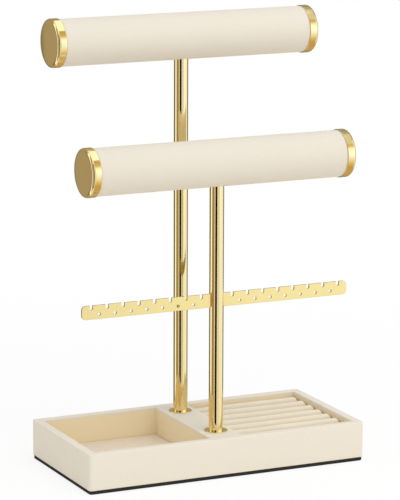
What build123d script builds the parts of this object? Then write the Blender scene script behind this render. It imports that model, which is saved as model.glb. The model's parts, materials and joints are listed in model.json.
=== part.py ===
from build123d import *

import os

# Two-tier T-bar jewellery stand on a leather-wrapped tray, in millimetres.
# X runs along the bars, -Y is the front and +Z is up.
# The origin is the middle of the tray's footprint, on the surface that the stand rests on.

os.makedirs("parts", exist_ok=True)

# Tray
tray_length = 250.0
tray_depth = 123.0
tray_height = 33.5
tray_corner_radius = 2.5
rim_round = 0.8
pad_thickness = 3.0
pad_inset = 0.5
wall_thickness = 5.2
leather_thickness = 1.0
lining_thickness = 1.0

# Raised platform between the two halves of the tray
platform_width = 28.5
platform_round = 1.0

# Ring rolls
roll_count = 7
roll_gap = 0.5
roll_crest_drop = 2.2
roll_crown_flat = 0.55
roll_draw_in = 0.9
roll_end_round = 3.2
roll_end_gap = 0.6
ring_board_thickness = 2.0

# Posts, flanges and what screws them down
post_setback = 26.5
post_diameter = 12.0
post_wall = 1.0
flange_diameter = 19.5
flange_thickness = 0.8
flange_round = 0.35
foot_plug_length = 20.0
top_plug_length = 18.0
screw_diameter = 6.0
screw_length = 45.0
screw_head_diameter = 10.5
screw_head_height = 3.0
washer_margin = 1.75
washer_thickness = 1.0
screw_pocket_side = 0.5
screw_pocket_spare = 0.2
board_over_pocket = 1.8

# Bars
bar_length = 237.0
upper_bar_height = 354.5
lower_bar_height = 259.0
cap_diameter = 40.3
cap_width = 8.0
cap_wall = 0.6
cap_face = 0.8
cap_round = 2.5
core_wall = 2.5
block_length = 44.0

# Swivel seat of a bar on its post
seat_drop = 7.5
insert_diameter = 10.0
insert_length = 14.0
insert_flange_inset = 0.2
insert_flange_thickness = 1.5
stud_diameter = 6.0
stud_in_post = 12.0
stud_end_spare = 3.5

# Earring strip and the screw that holds it
strip_length = 240.8
strip_height = 11.5
strip_thickness = 1.8
strip_level = 144.5
strip_corner_radius = 3.5
notch_pitch = 14.0
strip_end_margin = 6.0
notch_width = 2.6
notch_depth = 3.8
earring_hole_diameter = 2.6
earring_hole_drop = 1.8
strip_screw_diameter = 3.0
strip_screw_head_diameter = 5.0
strip_screw_head_height = 1.6
strip_screw_head_round = 0.7
strip_screw_tip = 1.5

# Clearances: glued or screwed fits, turning fits, open holes, laid-in pieces, and cuts
fit_gap = 0.05
turning_gap = 0.05
hole_gap = 0.3
lay_gap = 0.3
slot_gap = 0.1
overrun = 1.0

# Levels and outlines that follow from the sizes above
washer_diameter = screw_head_diameter + 2 * washer_margin
pocket_diameter = washer_diameter + 2 * screw_pocket_side
pocket_depth = washer_thickness + screw_head_height + screw_pocket_spare
board_thickness = pocket_depth + board_over_pocket
pad_top = pad_thickness
washer_top = pad_top + pocket_depth
board_top = pad_top + board_thickness
wall_top = tray_height - leather_thickness
rim_width = wall_thickness + 2 * leather_thickness
cavity_length = tray_length - 2 * rim_width
cavity_depth = tray_depth - 2 * rim_width
shell_length = tray_length - 2 * leather_thickness
shell_depth = tray_depth - 2 * leather_thickness
shell_radius = tray_corner_radius - leather_thickness
platform_edge = platform_width / 2
compartment_length = cavity_length / 2 - platform_edge
compartment_middle = platform_edge + compartment_length / 2

post_radius = post_diameter / 2
post_bore = post_radius - post_wall
post_y = tray_depth / 2 - post_setback
post_foot = tray_height + flange_thickness
screw_radius = screw_diameter / 2
stud_radius = stud_diameter / 2
insert_flange_diameter = post_diameter - 2 * insert_flange_inset
stud_in_bar = insert_flange_thickness + insert_length - stud_end_spare

cap_radius = cap_diameter / 2
wrap_radius = cap_radius - cap_wall - fit_gap
core_radius = wrap_radius - leather_thickness
core_bore = core_radius - core_wall
bar_half = bar_length / 2
sleeve_half = bar_half - cap_round


def save(piece, name):
    """Labels a finished piece and writes it under its name."""
    piece.part.label = name
    export_step(piece.part, f"parts/{name}.step")


def level(height, x=0, y=0):
    """A horizontal plane at a height, with its origin over the point x, y."""
    return Plane(origin=(x, y, height), z_dir=(0, 0, 1))


def across(x, y=0, height=0):
    """A plane that faces along +X, whose own axes are Y and Z."""
    return Plane(origin=(x, y, height), x_dir=(0, 1, 0), z_dir=(1, 0, 0))


# Black pad under the tray
with BuildPart() as base_pad:
    with BuildSketch(level(0)):
        RectangleRounded(tray_length - 2 * pad_inset, tray_depth - 2 * pad_inset, tray_corner_radius)
    extrude(amount=pad_thickness)
save(base_pad, "base_pad")

# Bottom board, with a stepped hole under each post for its screw
with BuildPart() as base_board:
    with BuildSketch(level(pad_top)):
        RectangleRounded(shell_length, shell_depth, shell_radius)
    extrude(amount=board_thickness)
    with BuildSketch(level(pad_top)):
        with Locations((0, post_y), (0, -post_y)):
            Circle(screw_radius + hole_gap)
    extrude(amount=board_thickness, mode=Mode.SUBTRACT)
    with BuildSketch(level(pad_top)):
        with Locations((0, post_y), (0, -post_y)):
            Circle(pocket_diameter / 2)
    extrude(amount=pocket_depth, mode=Mode.SUBTRACT)
save(base_board, "base_board")

# Long wall boards, with their outer corners rounded under the leather
for name, side in (("front_wall_board", -1), ("rear_wall_board", 1)):
    with BuildPart() as long_wall:
        with BuildSketch(level(board_top, y=side * (shell_depth - wall_thickness) / 2)):
            Rectangle(shell_length, wall_thickness)
        extrude(amount=wall_top - board_top)
        outer_face = long_wall.faces().sort_by(Axis.Y)[0 if side < 0 else -1]
        fillet(outer_face.edges().filter_by(Axis.Z), radius=shell_radius)
    save(long_wall, name)

# Short wall boards, fitted between the long ones
for name, side in (("left_wall_board", -1), ("right_wall_board", 1)):
    with BuildPart() as short_wall:
        with BuildSketch(level(board_top, x=side * (shell_length - wall_thickness) / 2)):
            Rectangle(wall_thickness, shell_depth - 2 * wall_thickness)
        extrude(amount=wall_top - board_top)
    save(short_wall, name)

# Leather skin: down the outside, over the rim and down the inside of the walls
with BuildPart() as tray_wrap:
    with BuildSketch(level(pad_top)):
        RectangleRounded(tray_length, tray_depth, tray_corner_radius)
    extrude(amount=tray_height - pad_top)
    with BuildSketch(level(pad_top)):
        RectangleRounded(shell_length, shell_depth, shell_radius)
    extrude(amount=wall_top - pad_top, mode=Mode.SUBTRACT)
    with BuildSketch(level(board_top)):
        Rectangle(cavity_length + 2 * leather_thickness, cavity_depth + 2 * leather_thickness)
    extrude(amount=tray_height - board_top)
    with BuildSketch(level(board_top)):
        Rectangle(cavity_length, cavity_depth)
    extrude(amount=tray_height - board_top + overrun, mode=Mode.SUBTRACT)
    fillet(tray_wrap.faces().sort_by(Axis.Z)[-1].edges(), radius=rim_round)
save(tray_wrap, "tray_wrap")

# Block between the two halves of the tray, drilled for the post screws
with BuildPart() as platform_block:
    with BuildSketch(level(board_top)):
        Rectangle(platform_width - 2 * leather_thickness, cavity_depth)
        with Locations((0, post_y), (0, -post_y)):
            Circle(screw_radius + hole_gap, mode=Mode.SUBTRACT)
    extrude(amount=wall_top - board_top)
save(platform_block, "platform_block")

# Leather over the top and the two sides of the block
with BuildPart() as platform_cover:
    with BuildSketch(level(board_top)):
        Rectangle(platform_width, cavity_depth)
    extrude(amount=tray_height - board_top)
    top_edges = platform_cover.faces().sort_by(Axis.Z)[-1].edges().filter_by(Axis.Y)
    fillet(top_edges, radius=platform_round)
    with BuildSketch(level(board_top)):
        Rectangle(platform_width - 2 * leather_thickness, cavity_depth)
    extrude(amount=wall_top - board_top, mode=Mode.SUBTRACT)
    with BuildSketch(level(wall_top)):
        with Locations((0, post_y), (0, -post_y)):
            Circle(screw_radius + hole_gap)
    extrude(amount=leather_thickness, mode=Mode.SUBTRACT)
save(platform_cover, "platform_cover")

# Floor lining of the left compartment
with BuildPart() as compartment_lining:
    with BuildSketch(level(board_top, x=-compartment_middle)):
        Rectangle(compartment_length - 2 * lay_gap, cavity_depth - 2 * lay_gap)
    extrude(amount=lining_thickness)
save(compartment_lining, "compartment_lining")

# Thin board under the ring rolls
with BuildPart() as ring_board:
    with BuildSketch(level(board_top, x=compartment_middle)):
        Rectangle(compartment_length - 2 * lay_gap, cavity_depth - 2 * lay_gap)
    extrude(amount=ring_board_thickness)
save(ring_board, "ring_board")

# Ring rolls, from the rear one to the front one: a round crown over sides that draw in downwards
roll_pitch = cavity_depth / roll_count
roll_half = (roll_pitch - roll_gap) / 2
roll_foot = board_top + ring_board_thickness
roll_height = tray_height - roll_crest_drop - roll_foot
roll_crown_rise = roll_half - roll_crown_flat
roll_shoulder = roll_height - roll_crown_rise
roll_foot_half = roll_half - roll_draw_in
roll_length = compartment_length - 2 * roll_end_gap
for index in range(roll_count):
    roll_y = cavity_depth / 2 - (index + 1 / 2) * roll_pitch
    with BuildPart() as ring_roll:
        with BuildSketch(across(platform_edge + roll_end_gap, roll_y, roll_foot)):
            with BuildLine():
                crown = ThreePointArc(
                    (-roll_half, roll_shoulder), (0, roll_height), (roll_half, roll_shoulder)
                )
                right_side = TangentArc(crown @ 1, (roll_foot_half, 0), tangent=crown % 1)
                left_side = TangentArc(crown @ 0, (-roll_foot_half, 0), tangent=-(crown % 0))
                Line(left_side @ 1, right_side @ 1)
            make_face()
        extrude(amount=roll_length)
        along_x = ring_roll.faces().sort_by(Axis.X)
        end_edges = along_x[0].edges().sort_by(Axis.Z)[1:] + along_x[-1].edges().sort_by(Axis.Z)[1:]
        fillet(end_edges, radius=roll_end_round)
    save(ring_roll, f"ring_roll_{index + 1}")


def make_post(place, post_y_here, bar_height):
    """A post with its flange, plugs and stud. Its end stands inside the bar, below the bar's axis."""
    post_top = bar_height - seat_drop

    with BuildPart() as flange:
        with BuildSketch(level(tray_height, y=post_y_here)):
            Circle(flange_diameter / 2)
            Circle(screw_radius + hole_gap, mode=Mode.SUBTRACT)
        extrude(amount=flange_thickness)
        top_rim = flange.faces().sort_by(Axis.Z)[-1].edges().sort_by(SortBy.RADIUS)[-1]
        fillet(top_rim, radius=flange_round)
    save(flange, f"{place}_flange")

    with BuildPart() as post:
        with BuildSketch(level(post_foot, y=post_y_here)):
            Circle(post_radius)
            Circle(post_bore, mode=Mode.SUBTRACT)
        extrude(amount=post_top - post_foot)
        if place == "front":
            with BuildSketch(across(-post_radius - overrun, post_y_here, strip_level)):
                Rectangle(strip_thickness + 2 * slot_gap, strip_height + 2 * slot_gap)
            extrude(amount=post_diameter + 2 * overrun, mode=Mode.SUBTRACT)
            with BuildSketch(Plane(origin=(0, post_y_here, strip_level), z_dir=(0, 1, 0))):
                Circle(strip_screw_diameter / 2 + fit_gap)
            extrude(amount=post_radius + overrun, mode=Mode.SUBTRACT)
    save(post, f"{place}_post")

    with BuildPart() as foot_plug:
        with BuildSketch(level(post_foot, y=post_y_here)):
            Circle(post_bore - fit_gap)
            Circle(screw_radius + fit_gap, mode=Mode.SUBTRACT)
        extrude(amount=foot_plug_length)
    save(foot_plug, f"{place}_foot_plug")

    with BuildPart() as top_plug:
        with BuildSketch(level(post_top - top_plug_length, y=post_y_here)):
            Circle(post_bore - fit_gap)
            Circle(stud_radius + fit_gap, mode=Mode.SUBTRACT)
        extrude(amount=top_plug_length)
    save(top_plug, f"{place}_top_plug")

    with BuildPart() as stud:
        with BuildSketch(level(post_top - stud_in_post, y=post_y_here)):
            Circle(stud_radius)
        extrude(amount=stud_in_post + stud_in_bar)
    save(stud, f"{place}_stud")


def make_bar(place, bar_y, bar_height):
    """A bar along X: core tube, leather sleeve, end caps, and the block and insert that seat on its post."""
    seat = bar_height - seat_drop
    block_ceiling = seat + insert_flange_thickness
    bar_foot = bar_height - cap_radius

    with BuildPart() as core:
        with BuildSketch(across(-sleeve_half, bar_y, bar_height)):
            Circle(core_radius)
            Circle(core_bore, mode=Mode.SUBTRACT)
        extrude(amount=2 * sleeve_half)
        with BuildSketch(level(bar_foot, y=bar_y)):
            Circle(post_radius + hole_gap)
        extrude(amount=cap_radius, mode=Mode.SUBTRACT)
    save(core, f"{place}_bar_core")

    with BuildPart() as wrap:
        with BuildSketch(across(-sleeve_half, bar_y, bar_height)):
            Circle(wrap_radius)
            Circle(core_radius, mode=Mode.SUBTRACT)
        extrude(amount=2 * sleeve_half)
        with BuildSketch(level(bar_foot, y=bar_y)):
            Circle(post_radius + hole_gap)
        extrude(amount=cap_radius, mode=Mode.SUBTRACT)
    save(wrap, f"{place}_bar_wrap")

    for side_name, side in (("left", -1), ("right", 1)):
        outward = Plane(origin=(side * bar_half, bar_y, bar_height), x_dir=(0, 1, 0), z_dir=(side, 0, 0))
        with BuildPart() as cap:
            with BuildSketch(outward):
                Circle(cap_radius)
            extrude(amount=-cap_width)
            with BuildSketch(outward.offset(-cap_face)):
                Circle(cap_radius - cap_wall)
            extrude(amount=cap_face - cap_width, mode=Mode.SUBTRACT)
            fillet(cap.edges().sort_by(Axis.X, reverse=side > 0)[1], radius=cap_round - cap_face)
            fillet(cap.edges().sort_by(Axis.X, reverse=side > 0)[0], radius=cap_round)
        save(cap, f"{place}_bar_cap_{side_name}")

    with BuildPart() as block:
        with BuildSketch(across(-block_length / 2, bar_y, bar_height)):
            Circle(core_bore - fit_gap)
        extrude(amount=block_length)
        with BuildSketch(level(bar_foot, y=bar_y)):
            Circle(post_radius + turning_gap)
        extrude(amount=block_ceiling - bar_foot, mode=Mode.SUBTRACT)
        with BuildSketch(level(block_ceiling, y=bar_y)):
            Circle(insert_diameter / 2 + fit_gap)
        extrude(amount=insert_length + fit_gap, mode=Mode.SUBTRACT)
    save(block, f"{place}_bar_block")

    with BuildPart() as insert:
        with BuildSketch(level(seat, y=bar_y)):
            Circle(insert_flange_diameter / 2)
        extrude(amount=insert_flange_thickness)
        with BuildSketch(level(block_ceiling, y=bar_y)):
            Circle(insert_diameter / 2)
        extrude(amount=insert_length)
        with BuildSketch(level(seat, y=bar_y)):
            Circle(stud_radius + turning_gap)
        extrude(amount=insert_flange_thickness + insert_length, mode=Mode.SUBTRACT)
    save(insert, f"{place}_bar_insert")


make_post("rear", post_y, upper_bar_height)
make_post("front", -post_y, lower_bar_height)
make_bar("upper", post_y, upper_bar_height)
make_bar("lower", -post_y, lower_bar_height)

# Screws and washers that pull the posts down from below, one of each for a post
with BuildPart() as post_washers:
    with BuildSketch(level(washer_top - washer_thickness)):
        with Locations((0, post_y), (0, -post_y)):
            Circle(washer_diameter / 2)
            Circle(screw_radius + hole_gap, mode=Mode.SUBTRACT)
    extrude(amount=washer_thickness)
save(post_washers, "post_washers")

with BuildPart() as post_screws:
    with BuildSketch(level(washer_top - washer_thickness - screw_head_height)):
        with Locations((0, post_y), (0, -post_y)):
            Circle(screw_head_diameter / 2)
    extrude(amount=screw_head_height)
    with BuildSketch(level(washer_top - washer_thickness)):
        with Locations((0, post_y), (0, -post_y)):
            Circle(screw_radius)
    extrude(amount=screw_length)
save(post_screws, "post_screws")

# Earring strip: notches along its upper edge, holes below and between them
strip_front = Plane(origin=(0, -post_y - strip_thickness / 2, strip_level), x_dir=(1, 0, 0), z_dir=(0, -1, 0))
notch_count = int((strip_length / 2 - strip_end_margin) // notch_pitch)
notch_floor = strip_height / 2 - notch_depth + notch_width / 2
notch_places = [(side * notch_pitch * (n + 1), notch_floor) for n in range(notch_count) for side in (-1, 1)]
hole_places = [
    (side * notch_pitch * (n + 3 / 2), -earring_hole_drop) for n in range(notch_count - 1) for side in (-1, 1)
]
with BuildPart() as earring_strip:
    with BuildSketch(strip_front):
        RectangleRounded(strip_length, strip_height, strip_corner_radius)
        with Locations(*notch_places):
            Circle(notch_width / 2, mode=Mode.SUBTRACT)
            Rectangle(notch_width, notch_depth, align=(Align.CENTER, Align.MIN), mode=Mode.SUBTRACT)
        with Locations(*hole_places):
            Circle(earring_hole_diameter / 2, mode=Mode.SUBTRACT)
        Circle(strip_screw_diameter / 2 + fit_gap, mode=Mode.SUBTRACT)
    extrude(amount=-strip_thickness)
save(earring_strip, "earring_strip")

# Screw at the back of the front post, through its rear wall and the strip
post_back = Plane(origin=(0, post_radius - post_y, strip_level), z_dir=(0, 1, 0))
with BuildPart() as strip_screw:
    with BuildSketch(post_back):
        Circle(strip_screw_head_diameter / 2)
    extrude(amount=strip_screw_head_height)
    fillet(strip_screw.faces().sort_by(Axis.Y)[-1].edges(), radius=strip_screw_head_round)
    with BuildSketch(post_back):
        Circle(strip_screw_diameter / 2)
    extrude(amount=-(post_radius + strip_thickness / 2 + strip_screw_tip))
save(strip_screw, "strip_screw")
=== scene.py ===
import json
import math
from functools import partial

import bmesh
import bpy
import numpy as np
from bpy.props import FloatProperty, FloatVectorProperty, IntProperty, PointerProperty
from mathutils import Matrix, Vector


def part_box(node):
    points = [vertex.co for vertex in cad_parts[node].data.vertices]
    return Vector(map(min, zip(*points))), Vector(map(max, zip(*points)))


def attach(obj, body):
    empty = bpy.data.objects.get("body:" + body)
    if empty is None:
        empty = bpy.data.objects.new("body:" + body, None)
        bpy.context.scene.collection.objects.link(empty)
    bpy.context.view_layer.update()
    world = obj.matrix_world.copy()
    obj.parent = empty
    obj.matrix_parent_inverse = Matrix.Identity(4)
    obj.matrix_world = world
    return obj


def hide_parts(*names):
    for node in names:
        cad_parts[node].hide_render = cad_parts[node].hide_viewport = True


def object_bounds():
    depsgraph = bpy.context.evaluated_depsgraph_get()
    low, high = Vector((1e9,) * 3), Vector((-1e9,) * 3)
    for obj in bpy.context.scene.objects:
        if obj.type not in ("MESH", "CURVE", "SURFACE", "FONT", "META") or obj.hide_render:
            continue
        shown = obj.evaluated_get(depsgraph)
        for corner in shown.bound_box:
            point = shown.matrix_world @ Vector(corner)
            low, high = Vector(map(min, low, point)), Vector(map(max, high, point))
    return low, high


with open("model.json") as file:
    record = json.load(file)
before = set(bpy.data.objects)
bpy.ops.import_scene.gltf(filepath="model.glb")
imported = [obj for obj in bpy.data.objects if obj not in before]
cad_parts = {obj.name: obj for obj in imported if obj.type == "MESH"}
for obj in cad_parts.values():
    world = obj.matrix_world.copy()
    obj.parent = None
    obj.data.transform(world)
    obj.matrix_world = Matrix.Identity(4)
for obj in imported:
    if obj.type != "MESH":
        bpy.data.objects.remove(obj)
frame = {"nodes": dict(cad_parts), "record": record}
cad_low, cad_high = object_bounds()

bl_info = {
    "name": "Jewelry stand",
    "version": (1, 0, 0),
    "blender": (4, 5, 0),
    "location": "3D View > Sidebar > Stand",
    "description": "Dresses the jewelry stand in leather, velvet and polished gold",
    "category": "Object",
}

MM = 0.001
# Names of the scene's groups of settings start with this
SETTINGS = "jewelry_stand_"
STAND = "stand"
BARS = {"upper": "upper_bar", "lower": "lower_bar"}
POSTS = {"upper": "rear", "lower": "front"}
ROLLS = [node for node in frame["nodes"] if node.startswith("ring_roll")]


# Places read from the frame

def corners(node):
    """Lowest and highest corner of a CAD node, as arrays in metres."""
    low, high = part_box(node)
    return np.array(low), np.array(high)


def linear(*rgb):
    """A colour given as it looks on a screen, 0 to 255, as the linear values that shaders take."""
    c = np.array(rgb) / 255
    return tuple(np.where(c <= 0.04045, c / 12.92, ((c + 0.055) / 1.055) ** 2.4))


TRAY_LOW, TRAY_HIGH = corners("tray_wrap")
WALL_LOW, WALL_HIGH = corners("front_wall_board")
BOARD_TOP = corners("base_board")[1][2]
PLATFORM_HALF = corners("platform_cover")[1][0]
LEATHER = WALL_LOW[1] - TRAY_LOW[1]
RIM_WIDTH = WALL_HIGH[1] - TRAY_LOW[1] + LEATHER
CAVITY_HALF = TRAY_HIGH - RIM_WIDTH


# Small sizes and shares that stay as they are

# How far the painted warm shade and bounce light inside the tray reaches into the walls
INNER_SHADE_MARGIN = 0.3 * MM
# Depths below the rim at which that painted shade starts and is full
INNER_SHADE_FADE = (0.4 * MM, 4 * MM)
# Depths below a ring roll's crest at which the painted groove shade starts and is darkest
GROOVE_SHADE_FADE = (0.7 * MM, 3 * MM)
# Rings of points on a plate's face, as shares of its half width from its edge
PLATE_SHARES = (0.9, 0.6, 0.3, 0.1)
# Closer points on each side of the platform's seam, as a share of the cavity's half length
SEAM_SHARE = 0.02
# Rings of points on a ring roll's end face, as shares of its section
ROLL_END_SHARES = (0.3, 0.55, 0.8)
# Waves along a ring roll: how many of each fit its length
ROLL_WAVES = (1, 2, 3, 5)
# Points of a ring roll below this height are held as its foot
FOOT_HEIGHT = 1 * MM
# Radius of the rounding on a cap's rim, as a share of the cap's wall
CAP_LIP_SHARE = 0.4
# The innermost ring of points on a cap's face, as a share of the face
CAP_CENTRE_SHARE = 0.02
# Stretch on each side of a cap's rim where a sleeve has closer points
RIM_REACH = 2 * MM
# How far a cutting shape goes past what it cuts
OVERRUN = 1 * MM
# Points closer than this are merged
MERGE_DISTANCE = MM / 1000
# A face whose normal is this near to an axis counts as flat
FLAT_NORMAL = 0.999
# Keeps a division from zero
TINY = 1e-9


# Sizes and colours that a user would change

LengthProperty = partial(FloatProperty, unit="LENGTH")
AngleProperty = partial(FloatProperty, subtype="ANGLE")
PlaceProperty = partial(FloatVectorProperty, subtype="XYZ", unit="LENGTH")
ColourProperty = partial(FloatVectorProperty, subtype="COLOR", min=0, max=1)


class JEWELRYSTAND_PG_leather(bpy.types.PropertyGroup):
    """The cream leather of the tray and the bars."""
    colour: ColourProperty(
        name="Leather", description="Colour of the grain's raised pebbles", default=linear(236, 229, 216))
    # Painted shade: the darker colour painted into the grain's creases
    crease_shade_colour: ColourProperty(
        name="Creases", description="Colour in the creases of the grain", default=linear(230, 222, 206))
    # Painted shade and bounce light: the warmer colour painted on the faces inside the tray
    inner_shade_colour: ColourProperty(
        name="Inner faces", description="Warmer tone of the faces inside the tray",
        default=linear(241, 225, 190))
    # Painted shade: the bars' leather is painted darker than the tray's by this share
    sleeve_share: FloatProperty(
        name="Sleeve tone", description="How light the bars' leather is beside the tray's", default=0.93)
    grain_size: LengthProperty(
        name="Grain", description="Size of one pebble of the grain", default=0.9 * MM, min=0.1 * MM)
    grain_depth: LengthProperty(
        name="Grain depth", description="Depth of the creases", default=0.06 * MM, min=0)
    corner_radius: LengthProperty(
        name="Corner", description="Radius of the tray's outer corners", default=2.5 * MM)
    inner_corner_radius: LengthProperty(
        name="Inner corner", description="Radius of the corners inside the tray", default=0.7 * MM)
    rim_round: LengthProperty(
        name="Rim", description="Radius of the rim's two edges", default=0.8 * MM)
    seam_round: LengthProperty(
        name="Platform seam", description="Radius of the rim's edge where the platform meets it",
        default=0.25 * MM)
    fold_round: LengthProperty(
        name="Bottom fold", description="Radius of the fold under the tray's lower edge", default=0.7 * MM)
    bow: LengthProperty(
        name="Bow", description="How far the skin stands off the middle of a wall", default=0.12 * MM)
    # The sleeves get a darker copy of the leather, as painted shade
    lap_step: LengthProperty(
        name="Sleeve lap", description="Height of the cut edge where a bar's sleeve laps over itself",
        default=0.32 * MM)
    lap_width: LengthProperty(
        name="Lap width", description="Length over which the lap sinks back to the bar", default=9 * MM)
    lap_angle: AngleProperty(
        name="Lap place", description="Angle of the lap from straight down towards the back of the bar",
        default=math.radians(38))
    lap_slope: LengthProperty(
        name="Lap slope", description="Lean of the lap's cut edge, on each side of its line",
        default=0.1 * MM)
    press_length: LengthProperty(
        name="Lap end", description="Length beside a cap over which the lap rises from flat",
        default=3 * MM)
    pinch: LengthProperty(
        name="Pinch", description="How far a cap's rim presses the sleeve in", default=0.3 * MM)
    pinch_width: LengthProperty(
        name="Pinch width", description="How far from a cap's rim the pinch spreads", default=0.45 * MM)
    post_gap: LengthProperty(
        name="Post gap", description="Gap between a post and the hole in a sleeve", default=0.3 * MM)


class JEWELRYSTAND_PG_soft(bpy.types.PropertyGroup):
    """The velvet ring rolls, the compartment's lining and the pad underneath."""
    velvet: ColourProperty(
        name="Velvet", description="Colour of the ring rolls' pile", default=linear(241, 229, 207))
    suede: ColourProperty(
        name="Suede", description="Colour of the compartment's lining", default=linear(234, 222, 202))
    pad: ColourProperty(
        name="Pad", description="Colour of the pad under the tray", default=linear(42, 42, 41))
    lining_corner: LengthProperty(
        name="Lining corner", description="Radius of the lining's corners", default=0.5 * MM)
    lining_edge: LengthProperty(
        name="Lining edge", description="Radius of the lining's edges", default=0.45 * MM)
    pad_corner: LengthProperty(
        name="Pad corner", description="Radius of the pad's corners", default=2.5 * MM)
    pad_edge: LengthProperty(
        name="Pad edge", description="Radius of the pad's edges", default=0.4 * MM)
    swell: LengthProperty(
        name="Swell", description="How far the rolls start inside their space, and may swell",
        default=0.45 * MM)
    pressure: FloatProperty(name="Pressure", description="Air pressure that fills the rolls", default=4.0)
    frames: IntProperty(name="Frames", description="Frames of cloth that fill the rolls", default=20)
    scale_up: FloatProperty(
        name="Cloth scale", description="How much larger the rolls are while the cloth moves", default=25.0)
    end_round: LengthProperty(
        name="Roll end", description="Radius of a roll's ends", default=3.2 * MM)
    draw_in: LengthProperty(
        name="Draw-in", description="How far a roll's sides draw in at its foot", default=0.9 * MM)
    unevenness: LengthProperty(
        name="Unevenness", description="How far a roll's crest wanders", default=0.12 * MM)
    seed: IntProperty(name="Seed", description="Seed of the rolls' unevenness", default=5)


class JEWELRYSTAND_PG_metal(bpy.types.PropertyGroup):
    """The gold plating and the earring strip."""
    gold: ColourProperty(
        name="Gold", description="Colour of the plating", default=linear(243, 222, 158))
    roughness: FloatProperty(
        name="Polish", description="Roughness of posts, flanges and caps", default=0.05)
    cap_wall: LengthProperty(
        name="Cap wall", description="Thickness of a cap's skirt", default=0.6 * MM)
    cap_face: LengthProperty(
        name="Cap face", description="Thickness of a cap's face", default=0.8 * MM)
    cap_round: LengthProperty(
        name="Cap edge", description="Radius of a cap's outer edge", default=2.3 * MM)
    cap_dome: LengthProperty(
        name="Cap dome", description="How far a cap's face stands out in its middle", default=0.2 * MM)
    strip_colour: ColourProperty(
        name="Strip", description="Colour of the strip's plating", default=linear(244, 222, 148))
    strip_roughness: FloatProperty(
        name="Strip polish", description="Roughness of the earring strip", default=0.2)
    strip_corner: LengthProperty(
        name="Strip corner", description="Radius of the strip's corners", default=3.5 * MM)
    strip_edge: LengthProperty(
        name="Strip edge", description="Radius of the strip's broken edges", default=0.22 * MM)
    notch_pitch: LengthProperty(
        name="Notch pitch", description="Distance from notch to notch", default=14 * MM)
    notch_count: IntProperty(
        name="Notches", description="Notches on each side of the post", default=8)
    notch_width: LengthProperty(
        name="Notch width", description="Width of a notch", default=2.6 * MM)
    notch_depth: LengthProperty(
        name="Notch depth", description="Depth of a notch", default=3.8 * MM)
    hole_diameter: LengthProperty(
        name="Hole", description="Diameter of an earring hole", default=2.6 * MM)
    hole_drop: LengthProperty(
        name="Hole drop", description="Drop of the holes below the strip's middle", default=1.8 * MM)
    screw_diameter: LengthProperty(
        name="Screw hole", description="Diameter of the hole for the strip's screw", default=3.1 * MM)


class JEWELRYSTAND_PG_stage(bpy.types.PropertyGroup):
    """Camera, floor and light."""
    azimuth: AngleProperty(
        name="Azimuth", description="Camera's turn about the stand", default=math.radians(-25.245))
    elevation: AngleProperty(
        name="Elevation", description="Camera's height angle", default=math.radians(11.739))
    roll: AngleProperty(
        name="Roll", description="Camera's turn about its own axis", default=math.radians(0.202))
    distance: LengthProperty(
        name="Distance", description="Camera's distance from its target", default=2.422)
    target: PlaceProperty(
        name="Target", description="Point that the camera looks at", default=(1.463 * MM, 0, 179.7 * MM))
    lens: FloatProperty(
        name="Lens", description="Focal length in millimetres, on a 36 mm frame", default=210.0)
    sky: FloatProperty(
        name="Sky", description="Strength of the light from all round", default=0.82)
    key: FloatProperty(
        name="Key", description="Power of the large soft lamp, in watts", default=17.5)
    key_place: PlaceProperty(
        name="Key place", description="Middle of the large soft lamp", default=(0.45, -1.2, 2.0))
    key_size: LengthProperty(
        name="Key size", description="Side of the large soft lamp", default=1.6)
    floor_colour: ColourProperty(
        name="Floor", description="Colour of the floor", default=(0.93, 0.93, 0.93))
    floor_bounce: ColourProperty(
        name="Bounce", description="Colour of the light that the floor throws back",
        default=(0.96, 0.93, 0.87))
    floor_glow: FloatProperty(
        name="Floor glow", description="Share of the floor near the stand that is seen as plain white",
        default=0.8)


# Shader maths

class Signal:
    """One output of a shader tree. Arithmetic on signals adds Math nodes to the tree."""

    def __init__(self, tree, socket=None):
        self.tree = tree
        self.socket = socket

    def add(self, kind, settings=None, inputs=None, output=0):
        """Adds a node: its settings are set first, then its sockets get values or links. Gives one output."""
        node = self.tree.nodes.new("ShaderNode" + kind)
        for name, value in (settings or {}).items():
            setattr(node, name, value)
        for name, value in (inputs or {}).items():
            self.feed(node.inputs[name], value)
        return Signal(self.tree, node.outputs[output] if len(node.outputs) else None)

    def feed(self, socket, value):
        """Links a signal to a socket, or sets the socket to a plain value."""
        if isinstance(value, Signal):
            self.tree.links.new(value.socket, socket)
        else:
            socket.default_value = value

    def also(self, output):
        """Another output of the same node."""
        return Signal(self.tree, self.socket.node.outputs[output])

    def calculate(self, operation, left, right):
        """A Math node on two values."""
        return self.add("Math", {"operation": operation}, {0: left, 1: right})

    def __add__(self, other):
        return self.calculate("ADD", self, other)

    def __sub__(self, other):
        return self.calculate("SUBTRACT", self, other)

    def __rsub__(self, other):
        return self.calculate("SUBTRACT", other, self)

    def __mul__(self, other):
        return self.calculate("MULTIPLY", self, other)

    __radd__ = __add__
    __rmul__ = __mul__


def opaque(colour):
    """A colour with full alpha, as a shader's colour socket takes it."""
    return (*colour[:3], 1.0)


def shade(colour, share):
    """A colour made darker or lighter by a share."""
    return tuple(min(1.0, c * share) for c in colour[:3])


def mixed(share, first, second):
    """A colour between two others, which are signals or plain colours, by a signal from 0 to 1."""
    first, second = (c if isinstance(c, Signal) else opaque(c) for c in (first, second))
    return share.add("Mix", {"data_type": "RGBA"}, {0: share, 6: first, 7: second}, 2)


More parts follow.
